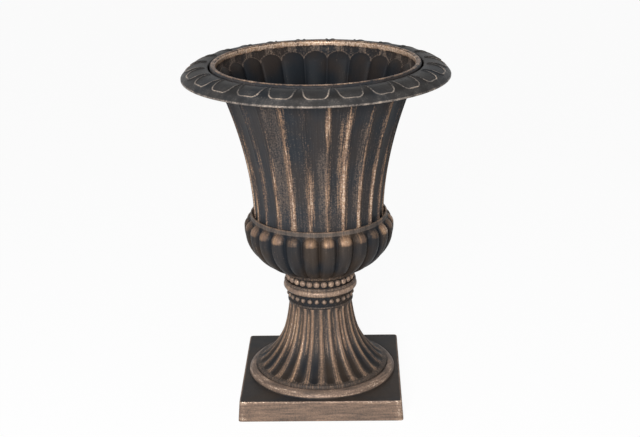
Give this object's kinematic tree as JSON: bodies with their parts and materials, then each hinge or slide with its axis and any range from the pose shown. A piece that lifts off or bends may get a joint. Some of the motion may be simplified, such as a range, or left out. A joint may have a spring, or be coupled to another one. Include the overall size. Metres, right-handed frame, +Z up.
{
  "type": "urn planter",
  "caption": "Classical fluted urn planter: flared pot with a leaf-edged rim, lobed cup, beaded collar, fluted pedestal and square plinth.",
  "frame": {"origin": "centre of the plinth's footprint, on the floor", "axes": "+Z up along the urn's axis; -Y is the front, square to one side of the plinth"},
  "size_m": [0.405, 0.405, 0.536],
  "materials": {
    "plinth_bronze": "antique bronze, hand brushed over near-black",
    "pedestal_bronze": "antique bronze, hand brushed over near-black",
    "collar_bronze": "antique bronze, hand brushed over near-black",
    "cup_bronze": "antique bronze, hand brushed over near-black",
    "bell_bronze": "antique bronze, hand brushed over near-black",
    "rim_bronze": "antique bronze, hand brushed over near-black",
    "zinc_steel": "zinc plated",
    "black_rubber": "matt moulded"
  },
  "bodies": {
    "urn": {"plinth": "plinth_bronze", "pedestal": "pedestal_bronze", "collar": "collar_bronze", "cup": "cup_bronze", "bell": "bell_bronze", "rim": "rim_bronze", "rim_screws": "zinc_steel", "tie_bolt": "zinc_steel", "head_washer": "zinc_steel", "seal_washer": "black_rubber", "base_washer": "zinc_steel", "wing_nut": "zinc_steel"},
    "plug_1": {"drain_plug_1": "black_rubber"},
    "plug_2": {"drain_plug_2": "black_rubber"},
    "plug_3": {"drain_plug_3": "black_rubber"},
    "plug_4": {"drain_plug_4": "black_rubber"}
  },
  "joints": [
    {"name": "plug_1_lift", "type": "slide", "parent": "urn", "child": "plug_1", "axis": [0, 0, 1], "range_m": [0, 0.34]},
    {"name": "plug_2_lift", "type": "slide", "parent": "urn", "child": "plug_2", "axis": [0, 0, 1], "range_m": [0, 0.34]},
    {"name": "plug_3_lift", "type": "slide", "parent": "urn", "child": "plug_3", "axis": [0, 0, 1], "range_m": [0, 0.34]},
    {"name": "plug_4_lift", "type": "slide", "parent": "urn", "child": "plug_4", "axis": [0, 0, 1], "range_m": [0, 0.34]}
  ]
}
